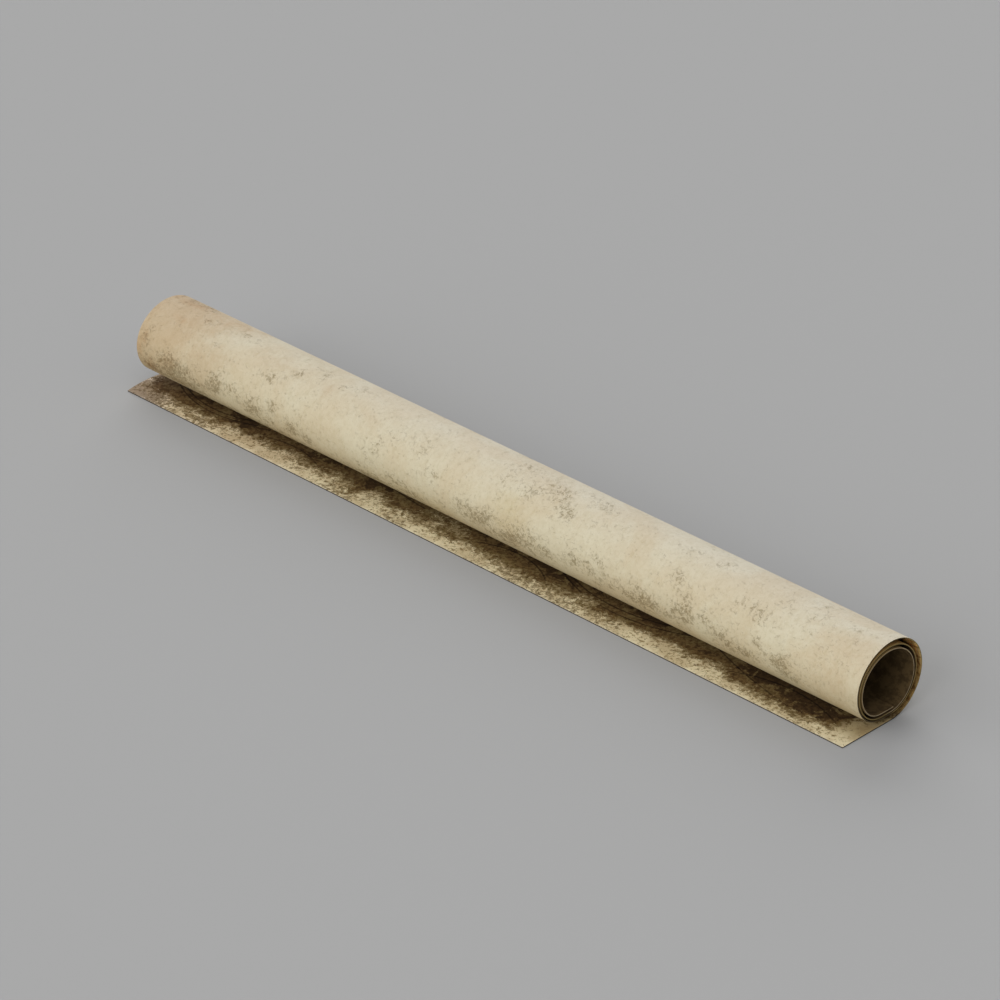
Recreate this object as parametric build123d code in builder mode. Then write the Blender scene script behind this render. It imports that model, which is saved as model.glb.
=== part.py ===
from build123d import *
from math import radians, sqrt
import os

# A sheet of heavy paper, rolled up from one edge and left with its loose edge lying open.
# The roll lies along X. The loose edge points towards -Y and the underside rests on z = 0.

sheet_width = 610.0      # along the roll
sheet_length = 508.0     # from the loose edge to the hidden inner edge, laid flat
sheet_thickness = 0.6
flap_reach = 36.8        # from the loose edge to the middle of the flat spot under the roll
flat_spot = 8.0          # stretch under each turn that the roll's own weight presses flat
roll_width = 56.9        # front to back over the outermost turn
roll_height = 54.2       # from the flat spot to the crown of the outermost turn
turn_drift = 0.2         # how much nearer the loose edge each further turn settles

# The outermost turn has sprung open, and the turns inside it have stayed tighter. Outermost
# first: how far a turn ends above its start, and how much narrower and lower the next one is.
turn_rise = (4.4, 1.4, 2.2)
next_narrower = (6.5, 4.4, 4.4)
next_lower = (7.5, 4.0, 4.0)

flap_length = flap_reach + flat_spot / 2
drift_bend = (flat_spot + turn_drift) / sqrt(2)
corner = 2 - sqrt(2)


def bends_of_turn(width, height, rise):
    """One turn from flat spot to flat spot, as radius and degrees; the flat has a length.

    A bend up from the flat spot, the back, the crown, the front, and a bend down to the next
    flat spot. Their radii follow from the turn's width and height.
    """
    wide = width + corner * rise / 4
    high = height - corner * rise / 4 + corner * drift_bend / 2
    crown = (sqrt(2) * wide - corner * high) / (4 * sqrt(2) - 4)
    side = (sqrt(2) * high - corner * wide) / (4 * sqrt(2) - 4)
    foot = crown + rise / 2 - drift_bend
    return [
        (foot, 45),
        (side, 90),
        (crown, 90),
        (side - rise / 2, 90),
        (foot - rise, 45),
        (0, flat_spot),
    ]


(first_foot, _), (first_side, _) = bends_of_turn(roll_width, roll_height, turn_rise[0])[:2]
overall_depth = flap_length + first_foot / sqrt(2) + first_side * corner / 2
loose_edge_y = -overall_depth / 2


def rolled_runs():
    """Bends and flats for all of the sheet beyond the flap, the last one cut to its length."""
    runs = []
    left = sheet_length - flap_length
    turn = 0
    width, height = roll_width, roll_height
    while left > sheet_thickness:
        for radius, amount in bends_of_turn(width, height, turn_rise[turn]):
            if left > sheet_thickness:
                length = radius * radians(amount) if radius else amount
                runs.append((radius, amount * min(1, left / length)))
                left -= length
        width -= next_narrower[turn]
        height -= next_lower[turn]
        turn = min(turn + 1, len(turn_rise) - 1)
    return runs


def draw_face(inset):
    """One face of the sheet, from the loose edge inwards; gives back its two end points."""
    run = Line((loose_edge_y, inset), (loose_edge_y + flap_length, inset))
    start = run @ 0
    for radius, amount in rolled_runs():
        if radius:
            run = JernArc(run @ 1, run % 1, radius - inset, amount)
        else:
            run = Line(run @ 1, run @ 1 + (run % 1) * amount)
    return start, run @ 1


with BuildPart() as scroll_sheet:
    with BuildSketch(Plane.YZ.offset(-sheet_width / 2)):
        with BuildLine():
            outer_face = draw_face(0)
            inner_face = draw_face(sheet_thickness)
            Line(outer_face[0], inner_face[0])
            Line(outer_face[1], inner_face[1])
        make_face()
    extrude(amount=sheet_width)

scroll_sheet.part.label = "scroll_sheet"

os.makedirs("parts", exist_ok=True)
export_step(scroll_sheet.part, "parts/scroll_sheet.step")
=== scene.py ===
import math

import bpy
import numpy as np
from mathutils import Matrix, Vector


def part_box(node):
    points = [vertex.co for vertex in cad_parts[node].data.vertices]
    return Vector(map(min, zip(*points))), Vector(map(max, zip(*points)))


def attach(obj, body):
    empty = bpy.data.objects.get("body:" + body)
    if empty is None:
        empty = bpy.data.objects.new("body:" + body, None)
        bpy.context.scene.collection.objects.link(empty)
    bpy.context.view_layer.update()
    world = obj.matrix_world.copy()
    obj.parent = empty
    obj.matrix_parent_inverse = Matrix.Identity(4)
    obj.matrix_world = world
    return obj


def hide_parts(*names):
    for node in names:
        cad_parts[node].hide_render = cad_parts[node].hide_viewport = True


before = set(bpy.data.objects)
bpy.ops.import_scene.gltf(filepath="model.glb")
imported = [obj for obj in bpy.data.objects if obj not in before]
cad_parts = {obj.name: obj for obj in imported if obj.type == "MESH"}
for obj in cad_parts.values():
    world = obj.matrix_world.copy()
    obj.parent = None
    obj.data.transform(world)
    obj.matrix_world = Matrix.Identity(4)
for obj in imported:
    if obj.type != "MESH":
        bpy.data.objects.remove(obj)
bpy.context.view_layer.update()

# Sizes in metres. The sheet is rolled by the same rule as the solid that it replaces.
low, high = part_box("scroll_sheet")
SHEET_WIDTH = high[0] - low[0]
SHEET_LENGTH = 0.508
THICKNESS = 0.0006
LOOSE_EDGE_Y = low[1]
FLAP_REACH = 0.0368
FLAT_SPOT = 0.008
ROLL_WIDTH = 0.0569
ROLL_HEIGHT = high[2] - low[2]
TURN_DRIFT = 0.0002
# outermost turn first, as in the solid
TURN_RISE = (0.0044, 0.0014, 0.0022)
NEXT_NARROWER = (0.0065, 0.0044, 0.0044)
NEXT_LOWER = (0.0075, 0.0040, 0.0040)

# What a real sheet does beyond that rule.
NEAR_SHRINK = 0.016    # the roll is this much tighter at its near end than at its far end
BACK_FOOT = (0.0, high[1] / 2, 0.0)    # the point that it tightens towards
CORNER_PULL = 0.0018   # how far the loose edge's far corner has drawn in
CROWN_PULL = 0.0013    # how far the roll's far rim has drawn in at its top
FLAP_LIFT = 0.0012     # how far the flap's far side stands off the table between its ends
SETTLING = 0.00025     # how far the paper's surface wanders inwards

ROWS_ACROSS = 191      # points along the roll
ROWS_ALONG = 231       # points from the loose edge to the inner edge
PATH_TURNS = 4         # one more than the sheet fills
PATH_STEP = math.radians(3)

# The photograph's camera, found from the roll's outline; its lens and sensor in millimetres.
CAMERA_AZIMUTH = math.radians(44.97)
CAMERA_ELEVATION = math.radians(28.95)
CAMERA_DISTANCE = 2.599
CAMERA_LENS = 152.2
CAMERA_SENSOR = 36.0
CAMERA_AIM = Vector((-0.0312, 0.0338, 0.0))

# The light: how bright the sky is, how wide each lamp looks from the table, and each lamp's
# azimuth, elevation and strength.
SKY_STRENGTH = 0.384
LAMP_WIDTH = math.radians(50)
LAMPS = ((135, 22, 1.70), (225, 22, 0.68), (270, 22, 1.38), (0, 90, 0.56))

FLOOR_REACH = 12.0     # from the middle of the table top to its sides

# Stains, given in millimetres: where they lie along the roll and from the loose edge,
# how far they reach both ways, and how strong they are. First those on the outside.
GRIME = (
    # low on the front of the roll
    # those at 186 and 188 mm from the loose edge are painted shade along the roll's lowest line,
    # where it sits on the flap
    (-298, 158, 6, 12, 0.6), (-290, 180, 12, 7, 0.9), (-285, 176, 12, 8, 0.9),
    (-270, 172, 20, 7, 1.2), (-264, 181, 20, 6, 1.6), (-250, 176, 12, 5, 1.0),
    (-230, 168, 7, 9, 1.1), (-217, 167, 4, 4, 0.7), (-197, 174, 14, 7, 0.9),
    (-190, 188, 70, 6, 1.0), (-178, 178, 12, 5, 0.6), (-176, 165, 5, 4, 1.3),
    (-160, 173, 9, 7, 1.0), (-146, 178, 5, 4, 1.1), (-97, 176, 8, 4, 0.5),
    (-90, 186, 20, 5, 1.3), (-86, 160, 10, 10, 0.5), (-70, 188, 50, 5, 0.9),
    (-66, 175, 9, 4, 0.8), (-58, 180, 20, 5, 0.7), (-38, 163, 10, 7, 0.45),
    (-30, 178, 12, 4, 0.5), (-3, 171, 9, 7, 1.1), (10, 173, 10, 8, 0.9),
    (30, 178, 22, 6, 1.0), (44, 174, 14, 8, 1.1), (66, 174, 14, 5, 0.8),
    (84, 168, 6, 9, 0.8), (100, 172, 10, 8, 0.7), (108, 165, 7, 5, 0.8),
    (114, 176, 8, 5, 0.6), (129, 175, 10, 6, 1.0), (145, 173, 15, 7, 1.2),
    (174, 168, 9, 9, 1.15), (190, 166, 5, 4, 0.6), (206, 173, 11, 7, 1.0),
    (222, 176, 12, 4, 0.9), (229, 165, 5, 4, 1.1), (249, 173, 10, 7, 1.1),
    (260, 178, 5, 4, 1.0), (275, 178, 4, 3, 0.7),
    # on the crown
    (-300, 113, 34, 8, 0.7), (-259, 129, 8, 4, 0.4), (-246, 140, 8, 12, 0.35),
    (-227, 128, 4, 3, 0.6), (-188, 147, 9, 4, 0.65), (-168, 137, 3, 3, 0.8),
    (-152, 128, 6, 5, 0.5), (-134, 134, 3, 3, 0.7), (-121, 127, 6, 4, 0.4),
    (-62, 144, 8, 6, 0.35), (-49, 146, 5, 9, 0.5), (17, 138, 7, 8, 0.55),
    (32, 126, 16, 9, 0.4), (38, 142, 9, 6, 0.65), (56, 132, 9, 6, 0.8),
    (62, 139, 9, 5, 0.7), (70, 145, 5, 5, 0.9), (88, 129, 11, 8, 0.35),
    (95, 140, 6, 5, 0.35), (160, 131, 9, 9, 0.4), (160, 148, 8, 4, 0.5),
    (183, 129, 8, 5, 0.45), (222, 147, 9, 5, 0.75), (241, 138, 6, 4, 0.6),
    (255, 127, 6, 6, 0.6), (270, 139, 14, 7, 0.3), (286, 127, 6, 4, 0.45),
)
TAN = (
    (-305, 140, 60, 45, 0.95), (-300, 175, 30, 22, 0.75), (-262, 120, 46, 16, 0.7),
    (-258, 148, 24, 22, 0.45), (-248, 159, 26, 20, 0.75), (-190, 134, 34, 14, 0.3),
    (-141, 138, 7, 7, 0.45), (120, 150, 16, 8, 0.3), (290, 160, 30, 26, 0.4),
)
RUST = (
    (-304, 118, 5, 10, 0.6), (-304, 168, 5, 8, 0.6), (-303, 145, 4, 25, 0.4),
    (-299, 160, 5, 8, 0.5), (-292, 178, 10, 6, 0.5), (-284, 120, 24, 8, 0.35),
    (-278, 139, 9, 4, 0.4), (-245, 122, 16, 7, 0.35),
)
OCHRE = (
    (-230, 184, 60, 8, 0.3), (-60, 182, 60, 8, 0.45), (30, 160, 18, 14, 0.5),
    (150, 184, 50, 8, 0.3), (250, 186, 60, 12, 0.35),
)
# On the flap: where the dark field has faded, where it is at its darkest, and where the pale
# border is dirty.
FADED = (
    (-290, 18, 24, 8, 0.3), (-262, 12, 34, 5, 0.5), (-162, 20, 8, 6, 0.5),
    (-114, 20, 9, 12, 1.15), (-92, 14, 6, 8, 1.2), (-86, 22, 5, 8, 0.8),
    (-60, 14, 10, 4, 0.5), (-34, 27, 22, 8, 1.5), (2, 13, 12, 4, 0.4),
    (90, 19, 9, 5, 0.85), (150, 13, 12, 4, 0.3), (182, 13, 12, 4, 0.15),
    (198, 20, 10, 5, 0.4),
)
DARKEST = (
    (-216, 23, 12, 6, 1.0), (-196, 20, 8, 4, 0.8), (-150, 27, 14, 5, 0.8),
    (-98, 24, 6, 6, 0.9), (-92, 28, 10, 4, 1.1), (-70, 26, 5, 4, 0.7),
    (50, 30, 20, 4, 0.7), (66, 24, 12, 5, 0.7), (140, 28, 14, 4, 1.0),
    (182, 22, 8, 5, 0.4), (212, 16, 8, 5, 0.35), (225, 24, 14, 6, 1.0),
    (240, 18, 10, 6, 0.6), (262, 21, 24, 10, 1.0), (282, 26, 12, 6, 0.7),
)
DIRTY = (
    (-300, 5, 24, 12, 1.1), (-264, 8, 26, 7, 0.3), (-240, 6, 16, 9, 0.6),
    (-150, 8, 12, 4, 0.3), (-108, 5, 14, 8, 0.5), (-80, 6, 26, 8, 0.2),
    (-68, 8, 8, 6, 0.3), (-60, 3, 9, 4, 0.5), (20, 5, 14, 5, 0.3),
    (45, 9, 30, 4, 0.6), (50, 5, 22, 5, 0.45), (72, 4, 16, 4, 0.6),
    (90, 6, 20, 6, 0.4), (118, 7, 8, 6, 0.5), (232, 6, 22, 6, 0.2),
)
# Inside the first turn, where its near rim is golden: partly the paper's own tone, partly
# painted light, as if daylight came through the thin paper into the gap.
GOLD_AND_PAINTED_GLOW = (
    (308, 62, 13, 12, 1.2), (308, 82, 13, 14, 1.2), (308, 104, 13, 14, 1.2),
    (308, 124, 12, 12, 1.2), (308, 140, 12, 10, 1.2),
)
# More stains are strewn over the back, which the photograph doesn't show: the least and the
# most of the same five numbers.
STREWN = ((-300, 300), (30, 108), (5, 16), (4, 9), (0.4, 0.9))
STAIN_FALL = 0.7       # how quickly a stain weakens away from its middle

# How far the pale border reaches in, in millimetres: from the loose edge, at places along the
# roll, and from the near and far sides, at places from the loose edge. Below 0 there is none.
LOOSE_BORDER = (
    (-305, 7), (-296, 7), (-240, 8), (-228, 8), (-222, 14), (-165, 13), (-150, 14), (-122, 13),
    (-116, 5), (-100, 4), (-93, 13), (-84, 15), (-78, 11), (-62, 12), (-40, 11), (-8, 12),
    (2, 10), (14, 9), (24, 10), (60, 11), (84, 12), (92, 10), (107, 9), (115, 9),
    (122, 12), (160, 13), (203, 13), (212, 9), (240, 8), (285, 8), (305, 12),
)
NEAR_BORDER = ((0, 19), (7, 19), (20, 16), (28, 12), (60, -15))
FAR_BORDER = ((0, 5), (28, 1), (60, -15))
INNER_BORDER = -15

# Thin lines drawn in the dark field, as parts of circles: centre along the roll, centre from
# the loose edge, and radius.
DRAWN = (
    (-246, 96, 74), (-244, 99, 81), (-171, -38, 62), (-44, 240, 214), (25, -28, 55),
    (108, 132, 110), (112, 129, 112), (246, -60, 86), (300, 320, 312),
)

# The map for baking, from 0 to 1. The back fills the lower half and the front the upper half.
# A face's share of the map's height grows from the loose edge inwards as the pairs say, so
# that what can be seen gets more room than what is rolled in.
MAP_MARGIN = 0.02
BACK_ROOM = ((0, 0), (0.21, 0.75), (SHEET_LENGTH, 1))
FRONT_ROOM = ((0, 0), (0.05, 0.25), (0.35, 0.55), (SHEET_LENGTH, 1))
# each cut edge is a strip of this width, between the halves or beside them
STRIP = 0.01
FAR_STRIP, NEAR_STRIP = 0.005, 0.985
LOOSE_STRIP, INNER_STRIP = 0.486, 0.504


# The path that the sheet follows

def turn_bends(width, height, rise):
    """One turn from flat spot to flat spot, as radius and angle; the flat has a length."""
    half, root = math.pi / 4, math.sqrt(2)
    corner = 2 - root
    drift_bend = (FLAT_SPOT + TURN_DRIFT) / root
    wide = width + corner * rise / 4
    tall = height - corner * rise / 4 + corner * drift_bend / 2
    crown = (root * wide - corner * tall) / (4 * root - 4)
    side = (root * tall - corner * wide) / (4 * root - 4)
    foot = crown + rise / 2 - drift_bend
    return [
        (foot, half),
        (side, 2 * half),
        (crown, 2 * half),
        (side - rise / 2, 2 * half),
        (foot - rise, half),
        (0, FLAT_SPOT),
    ]


def section_points():
    """Points of the sheet's outer face in the roll's cross section, as (y, z)."""
    y, z, angle = LOOSE_EDGE_Y, 0.0, 0.0
    points = [(y, z)]
    y += FLAP_REACH + FLAT_SPOT / 2
    points.append((y, z))
    width, height = ROLL_WIDTH, ROLL_HEIGHT
    for turn in range(PATH_TURNS):
        kind = min(turn, len(TURN_RISE) - 1)
        for radius, amount in turn_bends(width, height, TURN_RISE[kind]):
            if radius == 0:
                y += amount
                points.append((y, z))
                continue
            count = round(amount / PATH_STEP)
            for _ in range(count):
                # a chord of the arc, turned by half its step
                chord = 2 * radius * math.sin(amount / count / 2)
                heading = angle + amount / count / 2
                y += chord * math.cos(heading)
                z += chord * math.sin(heading)
                angle += amount / count
                points.append((y, z))
        width -= NEXT_NARROWER[kind]
        height -= NEXT_LOWER[kind]
    return points


def section_path():
    """A curve object along the outer face, seen from the end of the roll."""
    points = section_points()
    curve = bpy.data.curves.new("section_path", "CURVE")
    curve.dimensions = "3D"
    line = curve.splines.new("POLY")
    line.points.add(len(points) - 1)
    for point, (y, z) in zip(line.points, points):
        point.co = (0, y, z, 1)
    path = bpy.data.objects.new("section_path", curve)
    bpy.context.scene.collection.objects.link(path)
    return path


# Node helpers

class Nodes:
    """Adds nodes to one tree, with their settings and what feeds them."""

    def __init__(self, tree):
        self.tree = tree

    def add(self, kind, *feeds, **named):
        """A new node. The feeds go to its inputs in order, None leaving one as it is. What is
        named is a setting of the node where it has one of that name, and else an input."""
        made = self.tree.nodes.new(kind)
        inputs = {}
        for name, value in named.items():
            if hasattr(made, name):
                setattr(made, name, value)
            else:
                inputs[name.replace("_", " ")] = value
        for name, value in [*enumerate(feeds), *inputs.items()]:
            if value is not None:
                self.feed(value, made.inputs[name])
        return made

    def feed(self, value, socket):
        """Links a node or one of its outputs to the socket, or sets a plain value on it."""
        if isinstance(value, bpy.types.Node):
            value = next(s for s in value.outputs if s.enabled)
        if isinstance(value, bpy.types.NodeSocket):
            self.tree.links.new(value, socket)
        else:
            socket.default_value = value

    def math(self, operation, *values):
        return self.add("ShaderNodeMath", *values, operation=operation)

    def vector(self, operation, *values):
        return self.add("ShaderNodeVectorMath", *values, operation=operation)

    def xyz(self, value):
        return self.add("ShaderNodeSeparateXYZ", value).outputs

    def scaled(self, value, factor):
        return self.add("ShaderNodeVectorMath", value, None, None, factor, operation="SCALE")


# The sheet, flat at first and then bent along the path

# what the sheet's node tree is given, and the kind of socket for each
SHEET_INPUTS = {
    "Path": "Geometry", "Width": "Float", "Length": "Float", "Thickness": "Float",
    "Settling": "Float", "Flap reach": "Float", "Near shrink": "Float", "Corner pull": "Float",
    "Crown pull": "Float", "Crown height": "Float", "Flap lift": "Float", "Back foot": "Vector",
    "Rows across": "Int", "Rows along": "Int",
    "Back": "Material", "Front": "Material", "Cut edge": "Material",
}


def rolled_sheet_tree():
    """Bends a thin flat box of paper along the path, and gives each side its own finish."""
    tree = bpy.data.node_groups.new("Rolled sheet", "GeometryNodeTree")
    for name, kind in SHEET_INPUTS.items():
        tree.interface.new_socket(name, in_out="INPUT", socket_type="NodeSocket" + kind)
    tree.interface.new_socket("Sheet", in_out="OUTPUT", socket_type="NodeSocketGeometry")

    n = Nodes(tree)
    given = n.add("NodeGroupInput").outputs
    size = n.add("ShaderNodeCombineXYZ", given["Width"], given["Length"], given["Thickness"])
    flat = n.add("GeometryNodeMeshCube", size, given["Rows across"], given["Rows along"], 2)
    # the place on the flat sheet: along the roll, from the loose edge, and into the paper
    half_size = n.vector("MULTIPLY", size, (0, 0.5, 0.5))
    place = n.vector("ADD", n.add("GeometryNodeInputPosition"), half_size)
    marked = n.add("GeometryNodeStoreNamedAttribute", flat, None, "flat_place", place,
                   data_type="FLOAT_VECTOR", domain="POINT")
    kept = n.add("GeometryNodeInputNamedAttribute", "flat_place", data_type="FLOAT_VECTOR")
    rolled = n.add("GeometryNodeSetPosition", marked, None, rolled_up(n, given, kept))
    n.add("NodeGroupOutput", finished(n, given, shaded(n, rolled), n.xyz(kept)[2]))
    return tree


def rolled_up(n, given, place):
    """Where a place on the flat sheet comes to lie when the sheet follows the path."""
    x, s, depth = n.xyz(place)
    on_path = n.add("GeometryNodeSampleCurve", mode="LENGTH")
    n.feed(given["Path"], on_path.inputs["Curves"])
    n.feed(s, on_path.inputs["Length"])
    inwards = n.vector("CROSS_PRODUCT", (1, 0, 0), on_path.outputs["Tangent"])
    wander = n.add("ShaderNodeTexNoise", Vector=n.vector("MULTIPLY", place, (4, 18, 0)),
                   Scale=1.0, Detail=2.0)
    settled = n.math("MULTIPLY", wander.outputs["Fac"], given["Settling"])
    off_path = n.math("ADD", depth, settled)

    # beyond the flap the section shrinks towards its back foot, more and more to the near end
    near = n.math("ADD", n.math("DIVIDE", x, given["Width"]), 0.5)
    on_flap = n.math("MINIMUM", 1.0, n.math("DIVIDE", s, given["Flap reach"]))
    shrink = n.math("MULTIPLY", n.math("MULTIPLY", near, given["Near shrink"]),
                    n.math("POWER", on_flap, 4.0))
    from_foot = n.vector("SUBTRACT", on_path.outputs["Position"], given["Back foot"])
    tapered = n.vector("SUBTRACT", on_path.outputs["Position"], n.scaled(from_foot, shrink))
    bent = n.vector("ADD", tapered, n.scaled(inwards, off_path))

    # at the far end the loose corner and the crown are drawn in, and the flap is raised between
    far = n.math("MAXIMUM", 0.0, n.math("MULTIPLY", n.math("DIVIDE", x, given["Width"]), -2.0))
    loose = n.math("MULTIPLY", n.math("POWER", n.math("SUBTRACT", 1.0, on_flap), 2.0),
                   given["Corner pull"])
    raised = n.math("DIVIDE", n.xyz(on_path.outputs["Position"])[2], given["Crown height"])
    pull = n.math("MULTIPLY_ADD", raised, given["Crown pull"], loose)
    along = n.math("MULTIPLY_ADD", far, pull, x)
    arch = n.math("SINE", n.math("MULTIPLY", on_flap, math.pi))
    lift = n.math("MULTIPLY", n.math("MULTIPLY", arch, given["Flap lift"]),
                  n.math("POWER", far, 8.0))
    return n.vector("ADD", bent, n.add("ShaderNodeCombineXYZ", along, 0.0, lift))


def shaded(n, sheet):
    """The sheet with smooth faces and sharp rims."""
    smooth = n.add("GeometryNodeSetShadeSmooth", sheet, None, True, domain="FACE")
    angle = n.add("GeometryNodeInputMeshEdgeAngle").outputs["Unsigned Angle"]
    return n.add("GeometryNodeSetShadeSmooth", smooth, n.math("GREATER_THAN", angle, 1.0),
                 False, domain="EDGE")


def finished(n, given, sheet, depth):
    """The sheet with its three finishes. A face's middle lies on the back, on the front, or
    half way through the paper at a cut edge."""
    through = n.math("DIVIDE", depth, given["Thickness"])
    on_front = n.math("GREATER_THAN", through, 0.75)
    at_edge = n.math("COMPARE", through, 0.5, 0.25)
    back = n.add("GeometryNodeSetMaterial", sheet, None, given["Back"])
    front = n.add("GeometryNodeSetMaterial", back, on_front, given["Front"])
    solid = n.add("GeometryNodeRealizeInstances", front)
    return n.add("GeometryNodeSetMaterial", solid, at_edge, given["Cut edge"])


def plain_mesh_of(carrier, name):
    """What the carrier's nodes make, as an object of its own; the carrier is deleted."""
    graph = bpy.context.evaluated_depsgraph_get()
    mesh = bpy.data.meshes.new_from_object(carrier.evaluated_get(graph))
    carrier.modifiers.clear()
    bpy.data.objects.remove(carrier)
    mesh.name = name
    # the nodes leave an empty first slot
    while mesh.materials and mesh.materials[0] is None:
        mesh.materials.pop(index=0)
    made = bpy.data.objects.new(name, mesh)
    bpy.context.scene.collection.objects.link(made)
    return made


def places_of(mesh):
    """Where each point lies on the flat sheet: along the roll, from the loose edge, depth."""
    places = np.zeros(len(mesh.vertices) * 3, dtype=np.float32)
    mesh.attributes["flat_place"].data.foreach_get("vector", places)
    return places.reshape(-1, 3)


def read_off(pairs, at):
    """The second numbers of some pairs, read between them at a given first number."""
    return np.interp(at, *np.array(pairs).T)


def lay_out_for_baking(mesh):
    """Gives every face its own place on the map for baking."""
    corners = np.zeros(len(mesh.loops), dtype=np.int32)
    mesh.loops.foreach_get("vertex_index", corners)
    x, s, depth = np.moveaxis(places_of(mesh)[corners].reshape(-1, 4, 3), 2, 0)
    whole, half = 1 - 2 * MAP_MARGIN, 0.5 - 2 * MAP_MARGIN
    across = MAP_MARGIN + whole * (x / SHEET_WIDTH + 0.5)
    along = MAP_MARGIN + whole * s / SHEET_LENGTH
    back = MAP_MARGIN + half * read_off(BACK_ROOM, s)
    front = 0.5 + MAP_MARGIN + half * read_off(FRONT_ROOM, s)
    through = depth / THICKNESS
    side_strip = np.where(x > 0, NEAR_STRIP, FAR_STRIP) + STRIP * through
    end_strip = np.where(s > SHEET_LENGTH / 2, INNER_STRIP, LOOSE_STRIP) + STRIP * through

    middle = through.mean(axis=1, keepdims=True)
    on_rim = np.abs(middle - 0.5) < 0.25
    on_side = on_rim & (np.ptp(x, axis=1, keepdims=True) < 1e-6)
    u = np.where(on_side, side_strip, across)
    face_v = np.where(middle < 0.5, back, front)
    v = np.where(on_side, along, np.where(on_rim, end_strip, face_v))
    layer = mesh.uv_layers.new(name="OFBake")
    layer.data.foreach_set("uv", np.stack([u, v], axis=-1).astype(np.float32).ravel())


def keep_values(mesh, name, values):
    """Stores one value for each point of the mesh."""
    made = mesh.attributes.new(name, "FLOAT", "POINT")
    made.data.foreach_set("value", values.astype(np.float32))


def add_stains(mesh, name, stains, strewn=0, seed=1):
    """Stores how strong some stains are at each point, with a number of strewn ones added."""
    x, s, _ = places_of(mesh).T * 1000
    chance = np.random.default_rng(seed)
    more = np.stack([chance.uniform(least, most, strewn) for least, most in STREWN], axis=1)
    strength = np.zeros(len(x))
    for along, across, reach_x, reach_s, strongest in [*stains, *more]:
        away = ((x - along) / reach_x) ** 2 + ((s - across) / reach_s) ** 2
        strength = np.maximum(strength, strongest * np.exp(-STAIN_FALL * away))
    keep_values(mesh, name, strength)


def add_border(mesh):
    """Stores how far each point lies inside the dark field, in metres; below 0 is border."""
    x, s, _ = places_of(mesh).T * 1000
    half_width, length = SHEET_WIDTH * 500, SHEET_LENGTH * 1000
    inside = np.minimum.reduce([
        s - read_off(LOOSE_BORDER, x),
        (half_width - x) - read_off(NEAR_BORDER, s),
        (half_width + x) - read_off(FAR_BORDER, s),
        (length - s) - INNER_BORDER,
    ])
    keep_values(mesh, "into_field", inside / 1000)


def add_wear(mesh):
    add_stains(mesh, "grime", GRIME, strewn=46, seed=4)
    add_stains(mesh, "tan", TAN, strewn=16, seed=9)
    for name, stains in (("rust", RUST), ("ochre", OCHRE), ("faded", FADED),
                         ("darkest", DARKEST), ("dirty", DIRTY), ("golden", GOLD_AND_PAINTED_GLOW)):
        add_stains(mesh, name, stains)
    add_border(mesh)


def paper_sheet(back, front, cut_edge):
    """The whole scroll: one sheet with its flap and its turns."""
    carrier = section_path()
    modifier = carrier.modifiers.new("rolled sheet", "NODES")
    modifier.node_group = rolled_sheet_tree()
    values = {"Width": SHEET_WIDTH, "Length": SHEET_LENGTH, "Thickness": THICKNESS,
              "Settling": SETTLING, "Flap reach": FLAP_REACH, "Near shrink": NEAR_SHRINK,
              "Corner pull": CORNER_PULL, "Crown pull": CROWN_PULL, "Crown height": ROLL_HEIGHT,
              "Flap lift": FLAP_LIFT, "Back foot": BACK_FOOT,
              "Rows across": ROWS_ACROSS, "Rows along": ROWS_ALONG,
              "Back": back, "Front": front, "Cut edge": cut_edge}
    for item in modifier.node_group.interface.items_tree:
        if item.name in values:
            modifier[item.identifier] = values[item.name]
    sheet = plain_mesh_of(carrier, "paper_sheet")
    lay_out_for_baking(sheet.data)
    add_wear(sheet.data)
    return sheet


# Colours and tints of the finishes

def srgb(red, green, blue):
    """A colour given as 0 to 255 in a picture, as the light values a shader takes."""
    def light(value):
        value /= 255
        return value / 12.92 if value <= 0.04045 else ((value + 0.055) / 1.055) ** 2.4
    return (light(red), light(green), light(blue), 1.0)


# where a colour is a pair, the paper is mottled with both
PARCHMENT = srgb(202, 190, 166), srgb(206, 198, 177)
# painted shade on the outside of the inner turns, which shows only down the gaps
PAINTED_GAP_SHADE = srgb(160, 132, 84)
BORDER_CREAM = srgb(199, 182, 145), srgb(222, 209, 173)
BORDER_FILM = srgb(143, 127, 95)
TAWNY = srgb(112, 94, 59), srgb(160, 143, 106)
BROWN = srgb(80, 60, 33), srgb(114, 92, 57)
OLIVE = srgb(94, 76, 44), srgb(126, 107, 69)
UMBER = srgb(55, 39, 21), srgb(80, 60, 35)
ROLLED_IN_BROWN = srgb(102, 83, 54), srgb(78, 62, 39)
# the gold near the rim, from its own tone to painted light where daylight would reach in
GOLD_LOW, GOLD_PAINTED_LIT = srgb(160, 134, 82), srgb(240, 214, 146)
FLOOR_GREY = srgb(168, 168, 168)

# what a mark leaves of the red, green and blue of the paper under it
COOL_CROWN = (1.01, 1.02, 1.05)
MOTTLING = (0.97, 0.96, 0.945)
SCUFFING = (0.95, 0.945, 0.925)
WRINKLING = (0.97, 0.965, 0.945)
OCHRE_STAIN = (0.92, 0.88, 0.76)
TAN_STAIN = (0.865, 0.775, 0.70)
RUST_STAIN = (0.90, 0.79, 0.69)
YELLOWED = (0.985, 0.965, 0.87)
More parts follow.
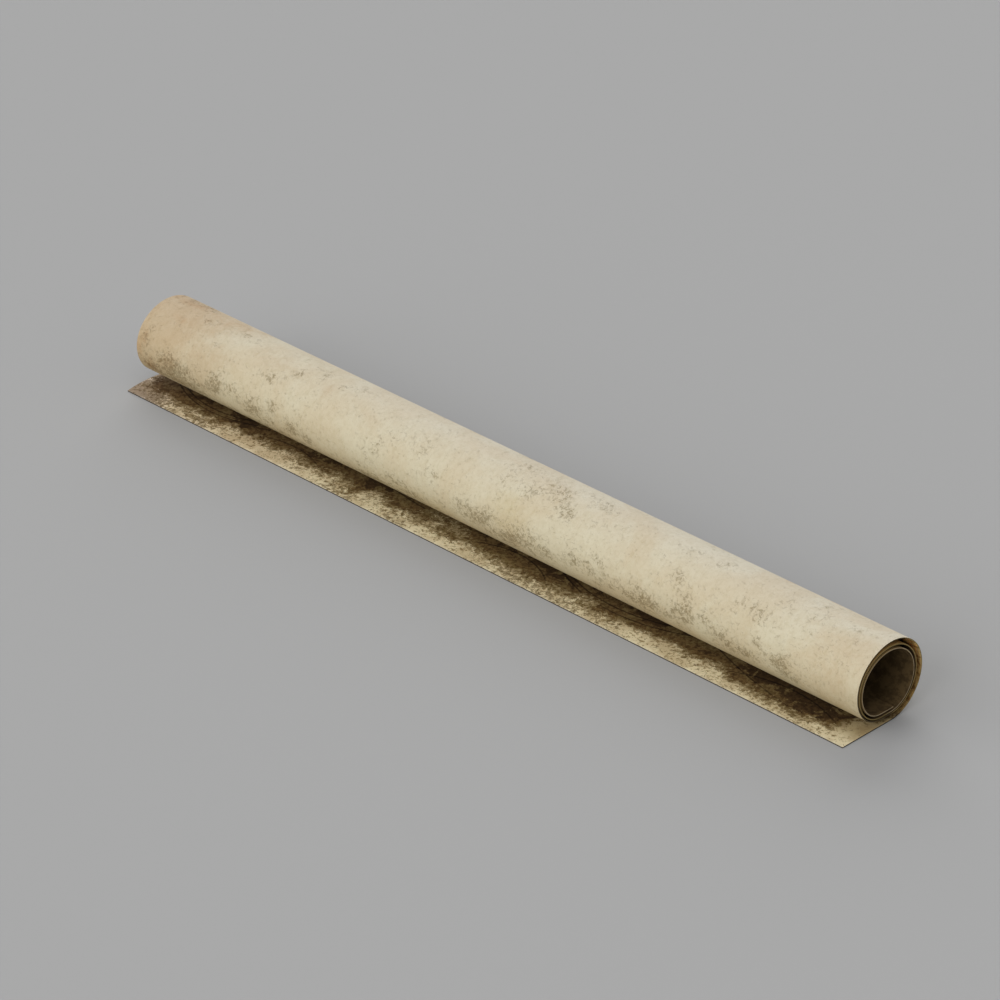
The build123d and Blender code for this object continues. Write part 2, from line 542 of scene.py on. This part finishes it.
# painted shade low on the front, warm as if lit from the brown flap
PAINTED_LOW_SHADE = (0.85, 0.81, 0.73)
GRIME_HAZE = (0.93, 0.905, 0.87)
GRIME_MARKS = (0.62, 0.59, 0.51)
BORDER_SPECKS = (0.48, 0.42, 0.32)
DARK_SIDE = (0.61, 0.56, 0.47)
PALE_EDGE_TINT = (1.05, 1.08, 1.16)
INK = (0.36, 0.33, 0.31)
FAR_PART = (1.0, 0.965, 0.975)
GREY_CORNER = (1.06, 1.07, 1.33)
GOLD_FLECKS = (0.50, 0.40, 0.32)
EDGE_DIRT = (0.72, 0.70, 0.66)

# Where the finishes change, in metres: along the roll, from x = 0 at its middle,
CROWN_COOLS_X = (-0.150, -0.110)
NEAR_SIDE_X = (0.284, 0.292)
FAR_PART_X = (-0.110, -0.190)
FAR_CORNER_X = (-0.262, -0.297)
# and along the sheet, from its loose edge
PALE_EDGE_BAND = (0.0020, 0.0006)
SIDE_DARKENS = (0.006, 0.019)
ROLLED_IN = (0.042, 0.060)
# where the gold near the rim is painted lighter, standing in for light that would reach in there
GOLD_LIGHT_PAINTED_FROM = (0.066, 0.112)
CROWN_COOLS = (0.142, 0.122)
FRONT_YELLOWS = (0.125, 0.175)
# where the painted shade low on the front sets in
LOW_SHADE_SETS_IN = (0.160, 0.188)
# where the painted shade of the inner turns sets in
HIDDEN = (0.205, 0.225)

# The cut edge's colour at the loose edge, its own dark tone with painted contact shadow under
# the flap, and what it turns to further in.
# The first tone, near black along the flap's sides, is painted shadow where the flap meets the
# table.
LOOSE_CUT_SHADOWED = srgb(66, 54, 42)
CUT_TONES = (
    (0.001, 0.003, srgb(28, 22, 12)), (0.045, 0.055, srgb(144, 124, 74)),
    (0.108, 0.120, srgb(84, 70, 40)), (0.212, 0.218, srgb(146, 125, 73)),
    (0.360, 0.370, srgb(164, 145, 113)),
)


# Finishes

def finish_material(name, roughness, specular):
    """A new material, what adds its nodes, and its shader."""
    material = bpy.data.materials.new(name)
    material.use_nodes = True
    tree = material.node_tree
    tree.nodes.clear()
    n = Nodes(tree)
    shader = n.add("ShaderNodeBsdfPrincipled")
    shader.inputs["Roughness"].default_value = roughness
    shader.inputs["Specular IOR Level"].default_value = specular
    n.add("ShaderNodeOutputMaterial", shader)
    return material, n, shader


def flat_place(n):
    return n.add("ShaderNodeAttribute", attribute_name="flat_place").outputs["Vector"]


def worn(n, name):
    """One of the values that add_wear keeps on the sheet."""
    return n.add("ShaderNodeAttribute", attribute_name=name).outputs["Fac"]


def noise(n, place, scale, detail=3.0, roughness=0.55, distortion=0.0):
    """Cloudy values from 0 to 1; scale is how many clouds fit in a metre."""
    return n.add("ShaderNodeTexNoise", Vector=place, Scale=scale, Detail=detail,
                 Roughness=roughness, Distortion=distortion).outputs["Fac"]


def moved(n, place, x, s):
    """The same place shifted, so that two noises of one scale don't agree."""
    return n.vector("ADD", place, (x, s, 0.0))


def centred(n, value, amount):
    """A noise value brought to lie around 0, times amount."""
    return n.math("MULTIPLY", n.math("SUBTRACT", value, 0.5), amount)


def ramp(n, value, start, end, low=0.0, high=1.0):
    """value from start to end, turned smoothly into low to high."""
    return n.add("ShaderNodeMapRange", value, start, end, low, high,
                 interpolation_type="SMOOTHSTEP").outputs[0]


def mix(n, factor, first, second, blend="MIX"):
    made = n.add("ShaderNodeMix", data_type="RGBA", blend_type=blend)
    # its sockets for colours come after those for numbers and vectors
    for value, socket in ((factor, 0), (first, 6), (second, 7)):
        n.feed(value, made.inputs[socket])
    return made.outputs[2]


def tinted(n, colour, factor, tint):
    """The colour multiplied by a tint, as strongly as factor says."""
    return mix(n, factor, colour, (*tint, 1.0), "MULTIPLY")


def squiggles(n, place, scale, width):
    """Thin wandering lines: 1 where a cloudy noise crosses its middle, 0 away from it."""
    clouds = noise(n, place, scale, 4.0, 0.62, 0.6)
    off = n.math("ABSOLUTE", n.math("SUBTRACT", clouds, 0.5))
    return ramp(n, off, width, width * 0.25)


def tooth(n, place, shader, height, distance):
    """The paper's tooth, finer than a millimetre, and its cockle, some 20 mm wide, as bump
    with the given height added."""
    fine = n.math("MULTIPLY", noise(n, place, 1300, 2.0), 0.25)
    cockle = n.math("MULTIPLY", noise(n, place, 45, 2.0), 1.5)
    total = n.math("ADD", n.math("ADD", fine, cockle), height)
    n.feed(n.add("ShaderNodeBump", Height=total, Strength=0.5, Distance=distance),
           shader.inputs["Normal"])


# The outside

def back_paper():
    """Cream parchment of the outside: soft clouds, tan stains, grime in scratchy patches, and
    painted shade low on the front and on the turns within.
    """
    material, n, shader = finish_material("back_paper", roughness=0.85, specular=0.2)
    place = flat_place(n)
    x, s, _ = n.xyz(place)
    # fine wrinkles run round the roll
    round_it = n.vector("MULTIPLY", moved(n, place, 3, 1), (1.0, 0.3, 1.0))
    wrinkles = noise(n, round_it, 420, 4.0, 0.65, 0.8)

    colour = clean_parchment(n, place, x, s)
    colour = tinted(n, colour, ramp(n, wrinkles, 0.53, 0.60), WRINKLING)
    colour = stained(n, place, s, colour)
    haze, marks = grime(n, place)
    colour = tinted(n, colour, haze, GRIME_HAZE)
    colour = tinted(n, colour, marks, GRIME_MARKS)
    # beyond the turns that show, the outside is painted brown: painted shade, as dark as the
    # gaps between the turns
    colour = mix(n, ramp(n, s, *HIDDEN), colour, PAINTED_GAP_SHADE)
    n.feed(colour, shader.inputs["Base Color"])
    relief = n.math("MULTIPLY_ADD", wrinkles, -0.5, n.math("MULTIPLY", marks, -3.0))
    tooth(n, place, shader, relief, 0.0004)
    return material


def clean_parchment(n, place, x, s):
    """Clouded cream with a fine mottling and scuffs."""
    clouds = ramp(n, noise(n, place, 19, 5.0, 0.62, 0.6), 0.36, 0.64)
    colour = mix(n, clouds, *PARCHMENT)
    # the crown is tinted cooler and a little lighter, except at the far end
    cool = n.math("MULTIPLY", ramp(n, x, *CROWN_COOLS_X), ramp(n, s, *CROWN_COOLS))
    colour = tinted(n, colour, cool, COOL_CROWN)
    mottle = ramp(n, noise(n, place, 150, 6.0, 0.7, 1.2), 0.47, 0.53)
    colour = tinted(n, colour, n.math("SUBTRACT", 1.0, mottle), MOTTLING)
    scuff = ramp(n, noise(n, moved(n, place, 1, 2), 330, 4.0, 0.7, 1.0), 0.54, 0.585)
    return tinted(n, colour, scuff, SCUFFING)


def stained(n, place, s, colour):
    """The colour with its ochre, tan and rust stains, and browner low on the front, which is
    painted shade warmed as by light thrown up from the brown flap.
    """
    ragged = noise(n, place, 60, 5.0, 0.7, 1.0)
    ochre = ramp(n, n.math("MULTIPLY_ADD", ragged, 0.8, worn(n, "ochre")), 0.5, 1.3)
    colour = tinted(n, colour, ochre, OCHRE_STAIN)
    tan = ramp(n, n.math("MULTIPLY_ADD", ragged, 0.8, worn(n, "tan")), 0.5, 1.25)
    colour = tinted(n, colour, tan, TAN_STAIN)
    rust = ramp(n, n.math("MULTIPLY_ADD", ragged, 1.0, worn(n, "rust")), 0.7, 1.2)
    colour = tinted(n, colour, rust, RUST_STAIN)
    colour = tinted(n, colour, ramp(n, s, *FRONT_YELLOWS), YELLOWED)
    return tinted(n, colour, ramp(n, s, *LOW_SHADE_SETS_IN), PAINTED_LOW_SHADE)


def grime(n, place):
    """A faint haze and scratchy marks: the more grime there is, the more of a crumbly noise
    shows as marks, and the darker they are."""
    drift = centred(n, noise(n, moved(n, place, 0, 5), 75, 4.0), 1.5)
    strength = n.math("MULTIPLY_ADD", worn(n, "grime"), 0.8, drift)
    haze = ramp(n, strength, 0.2, 1.1)
    crumbs = noise(n, moved(n, place, 2, 0), 400, 5.0, 0.72, 0.8)
    spots = ramp(n, n.math("MULTIPLY_ADD", strength, 0.15, crumbs), 0.59, 0.65)
    lines = squiggles(n, place, 320, 0.09)
    scratchy = n.math("MULTIPLY", spots, n.math("MULTIPLY_ADD", lines, 0.55, 0.45))
    marks = n.math("MULTIPLY", scratchy, ramp(n, strength, 0.1, 0.7, 0.35, 1.0))
    return haze, marks


# The side that is rolled inwards

def front_paper():
    """A dark aged field with a pale worn border, and an even brown where it is rolled in."""
    material, n, shader = finish_material("front_paper", roughness=0.85, specular=0.15)
    place = flat_place(n)
    x, s, _ = n.xyz(place)
    inside = worn(n, "into_field")
    crumbs = noise(n, place, 280, 7.0, 0.78, 0.6)
    # how deep in the field a point lies: the field's edge is crumbly, and recedes where it faded
    drift = centred(n, noise(n, place, 70, 5.0, 0.6, 0.5), 1.0)
    reach = n.math("ADD", n.math("MULTIPLY_ADD", inside, 44.0, drift),
                   centred(n, crumbs, 1.15))
    reach = n.math("SUBTRACT", reach, n.math("MULTIPLY", worn(n, "faded"), 0.45))

    border = pale_border(n, place, x, s, inside, crumbs)
    flap = dark_field(n, place, x, s, reach, border)
    colour = mix(n, ramp(n, s, *ROLLED_IN), flap, rolled_in_brown(n, place, s))
    n.feed(colour, shader.inputs["Base Color"])
    # thin paper lets daylight through where it is golden
    n.feed(n.math("MULTIPLY", worn(n, "golden"), 0.45), shader.inputs["Subsurface Weight"])
    shader.inputs["Subsurface Radius"].default_value = (1.0, 0.80, 0.45)
    shader.inputs["Subsurface Scale"].default_value = 0.0015
    tooth(n, place, shader, n.math("MULTIPLY", ramp(n, reach, -0.1, 0.1), -0.6), 0.0003)
    return material


def pale_border(n, place, x, s, inside, crumbs):
    """Cream with a brown film where it is dirty, and dark specks near the field."""
    clouds = ramp(n, noise(n, place, 60, 5.0, 0.65), 0.4, 0.6)
    colour = mix(n, clouds, *BORDER_CREAM)
    film = n.math("MULTIPLY_ADD", worn(n, "dirty"), 0.22, crumbs)
    colour = mix(n, ramp(n, film, 0.56, 0.62), colour, BORDER_FILM)
    specks = n.math("MULTIPLY_ADD", inside, 5.0, noise(n, moved(n, place, 6, 6), 520, 4.0, 0.7))
    # the near side's border is darker, and has hardly any specks
    side = n.math("MULTIPLY", ramp(n, x, *NEAR_SIDE_X), ramp(n, s, *SIDE_DARKENS))
    specked = n.math("SUBTRACT", ramp(n, specks, 0.515, 0.565), n.math("MULTIPLY", side, 0.75))
    colour = tinted(n, colour, n.math("MAXIMUM", specked, 0.0), BORDER_SPECKS)
    colour = tinted(n, colour, side, DARK_SIDE)
    # the loose edge itself is paler and cooler
    return tinted(n, colour, ramp(n, s, *PALE_EDGE_BAND), PALE_EDGE_TINT)


def dark_field(n, place, x, s, reach, border):
    """The border's colour with the field laid over it: tawny at the field's edge, brown with
    olive patches further in, and umber where it is darkest."""
    grit = noise(n, moved(n, place, 3, 3), 420, 5.0, 0.75)
    tawny = mix(n, ramp(n, grit, 0.44, 0.56), *TAWNY)
    brown = mix(n, ramp(n, grit, 0.42, 0.58), *BROWN)
    umber = mix(n, ramp(n, grit, 0.40, 0.62), *UMBER)
    olive = mix(n, ramp(n, grit, 0.42, 0.58), *OLIVE)
    patches = centred(n, noise(n, moved(n, place, 5, 1), 95, 6.0, 0.7, 0.5), 2.6)
    brown = mix(n, ramp(n, patches, -0.05, -0.20), brown, olive)
    deep = n.math("ADD", n.math("MULTIPLY_ADD", reach, 0.5, patches),
                  n.math("MULTIPLY", worn(n, "darkest"), 0.6))
    colour = mix(n, ramp(n, reach, -0.10, -0.06), border, tawny)
    colour = mix(n, ramp(n, reach, 0.08, 0.13), colour, brown)
    colour = mix(n, ramp(n, deep, 0.50, 0.60), colour, umber)
    inked = n.math("MULTIPLY", drawn_lines(n, x, s), ramp(n, reach, 0.05, 0.35))
    colour = tinted(n, colour, inked, INK)
    # the flap is a little redder in its far part, and its far corner greyer
    colour = tinted(n, colour, ramp(n, x, *FAR_PART_X), FAR_PART)
    return tinted(n, colour, ramp(n, x, *FAR_CORNER_X), GREY_CORNER)


def drawn_lines(n, x, s):
    """1 on the thin drawn lines, 0 elsewhere."""
    nearest = None
    for along, across, radius in DRAWN:
        off_x = n.math("SUBTRACT", x, along / 1000)
        off_s = n.math("SUBTRACT", s, across / 1000)
        away = n.math("SQRT", n.math("ADD", n.math("MULTIPLY", off_x, off_x),
                                     n.math("MULTIPLY", off_s, off_s)))
        off = n.math("ABSOLUTE", n.math("SUBTRACT", away, radius / 1000))
        nearest = off if nearest is None else n.math("MINIMUM", nearest, off)
    return ramp(n, nearest, 0.0008, 0.0003)


def rolled_in_brown(n, place, s):
    """What is rolled in has kept an even brown, blotched, with flecked gold near the rim that is
    partly painted light, brighter towards the crown.
    """
    blots = ramp(n, noise(n, moved(n, place, 4, 4), 150, 5.0, 0.65), 0.42, 0.58)
    even = mix(n, blots, *ROLLED_IN_BROWN)
    gold = mix(n, ramp(n, s, *GOLD_LIGHT_PAINTED_FROM), GOLD_LOW, GOLD_PAINTED_LIT)
    flecks = ramp(n, noise(n, moved(n, place, 2, 7), 260, 3.0, 0.6), 0.50, 0.60)
    gold = tinted(n, gold, flecks, GOLD_FLECKS)
    return mix(n, ramp(n, worn(n, "golden"), 0.3, 0.7), even, gold)


def cut_edge():
    """The sheet's own thickness, whose tone changes from turn to turn; along the flap it is
    darkened with painted contact shadow.
    """
    material, n, shader = finish_material("cut_edge", roughness=0.9, specular=0.5)
    place = flat_place(n)
    _, s, _ = n.xyz(place)
    colour = LOOSE_CUT_SHADOWED
    for start, end, tone in CUT_TONES:
        colour = mix(n, ramp(n, s, start, end), colour, tone)
    dirt = ramp(n, noise(n, place, 150, 3.0), 0.40, 0.65)
    n.feed(tinted(n, colour, dirt, EDGE_DIRT), shader.inputs["Base Color"])
    return material


# The studio

def floor():
    """A plain grey table top, wide enough to fill the view."""
    far = FLOOR_REACH
    mesh = bpy.data.meshes.new("floor")
    mesh.from_pydata([(-far, -far, 0), (far, -far, 0), (far, far, 0), (-far, far, 0)], [],
                     [(0, 1, 2, 3)])
    top = bpy.data.objects.new("floor", mesh)
    bpy.context.scene.collection.objects.link(top)
    material, _, shader = finish_material("plain_grey", roughness=1.0, specular=0.0)
    shader.inputs["Base Color"].default_value = FLOOR_GREY
    mesh.materials.append(material)


def soft_light():
    """A pale sky all round and four broad soft lamps: three low ones and one overhead."""
    world = bpy.data.worlds.new("soft sky")
    world.use_nodes = True
    world.node_tree.nodes["Background"].inputs["Color"].default_value = (1, 1, 1, 1)
    world.node_tree.nodes["Background"].inputs["Strength"].default_value = SKY_STRENGTH
    bpy.context.scene.world = world
    for number, (azimuth, elevation, strength) in enumerate(LAMPS):
        lamp = bpy.data.lights.new("broad lamp %d" % number, "SUN")
        lamp.energy = strength
        lamp.angle = LAMP_WIDTH
        hung = bpy.data.objects.new(lamp.name, lamp)
        azimuth, elevation = math.radians(azimuth), math.radians(elevation)
        towards = Vector((math.cos(azimuth) * math.cos(elevation),
                          math.sin(azimuth) * math.cos(elevation), math.sin(elevation)))
        hung.rotation_euler = towards.to_track_quat("Z", "Y").to_euler()
        bpy.context.scene.collection.objects.link(hung)


def camera():
    azimuth, elevation = CAMERA_AZIMUTH, CAMERA_ELEVATION
    looking = Vector((-math.sin(azimuth) * math.cos(elevation),
                      math.cos(azimuth) * math.cos(elevation), -math.sin(elevation)))
    data = bpy.data.cameras.new("camera")
    data.lens = CAMERA_LENS
    data.sensor_width = CAMERA_SENSOR
    stand = bpy.data.objects.new("camera", data)
    stand.location = CAMERA_AIM - looking * CAMERA_DISTANCE
    stand.rotation_euler = looking.to_track_quat("-Z", "Y").to_euler()
    bpy.context.scene.collection.objects.link(stand)
    bpy.context.scene.camera = stand


bpy.context.scene.view_settings.view_transform = "Standard"
camera()
soft_light()
floor()

sheet = paper_sheet(back_paper(), front_paper(), cut_edge())
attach(sheet, "root")
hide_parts("scroll_sheet")
